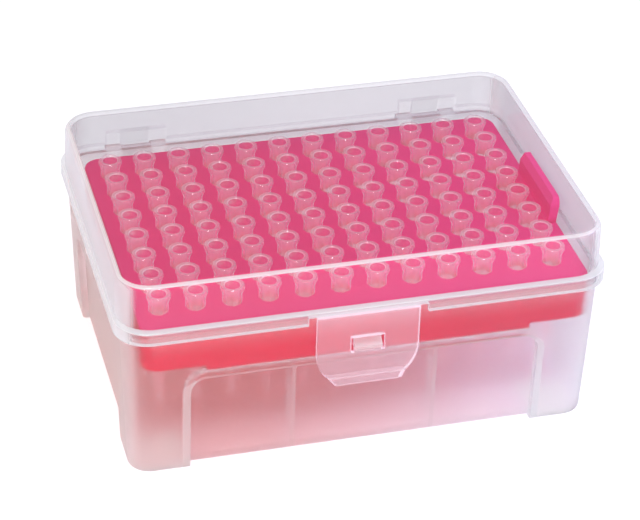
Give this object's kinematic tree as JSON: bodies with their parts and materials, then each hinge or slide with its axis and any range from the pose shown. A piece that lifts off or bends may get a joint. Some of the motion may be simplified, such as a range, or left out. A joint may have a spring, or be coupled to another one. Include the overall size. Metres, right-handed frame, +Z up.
{
  "type": "pipette tip box",
  "caption": "Rectangular laboratory box with a clear hinged lid, a front latch and a lift-out rack that holds a full grid of small pipette tips.",
  "frame": {"origin": "middle of the surface that the four corner feet stand on", "axes": "+X along the long side towards the rack's grip tab, -Y towards the latch at the front, +Y towards the hinges, +Z up"},
  "size_m": [0.1224, 0.0928, 0.0547],
  "materials": {
    "frosted_polypropylene": "translucent natural polypropylene, lightly frosted",
    "clear_polypropylene": "clarified polypropylene, smooth",
    "latch_polypropylene": "clarified polypropylene, smooth",
    "pink_polypropylene": "opaque pink polypropylene, satin gloss",
    "tip_polypropylene": "clear polypropylene, polished"
  },
  "bodies": {
    "box": {"base": "frosted_polypropylene", "tip_rack": "pink_polypropylene", "tips_column_01_front": "tip_polypropylene", "tips_column_01_back": "tip_polypropylene", "tips_column_02_front": "tip_polypropylene", "tips_column_02_back": "tip_polypropylene", "tips_column_03_front": "tip_polypropylene", "tips_column_03_back": "tip_polypropylene", "tips_column_04_front": "tip_polypropylene", "tips_column_04_back": "tip_polypropylene", "tips_column_05_front": "tip_polypropylene", "tips_column_05_back": "tip_polypropylene", "tips_column_06_front": "tip_polypropylene", "tips_column_06_back": "tip_polypropylene", "tips_column_07_front": "tip_polypropylene", "tips_column_07_back": "tip_polypropylene", "tips_column_08_front": "tip_polypropylene", "tips_column_08_back": "tip_polypropylene", "tips_column_09_front": "tip_polypropylene", "tips_column_09_back": "tip_polypropylene", "tips_column_10_front": "tip_polypropylene", "tips_column_10_back": "tip_polypropylene", "tips_column_11_front": "tip_polypropylene", "tips_column_11_back": "tip_polypropylene", "tips_column_12_front": "tip_polypropylene", "tips_column_12_back": "tip_polypropylene"},
    "lid": {"lid": "clear_polypropylene"},
    "latch": {"latch": "latch_polypropylene"}
  },
  "joints": [
    {"name": "lid_hinge", "type": "hinge", "parent": "box", "child": "lid", "pos_m": [0, 0.0452, 0.0401], "axis": [-1, 0, 0], "range_deg": [0, 105]},
    {"name": "latch_hinge", "type": "hinge", "parent": "lid", "child": "latch", "pos_m": [0, -0.044, 0.04115], "axis": [-1, 0, 0], "range_deg": [0, 90]}
  ]
}
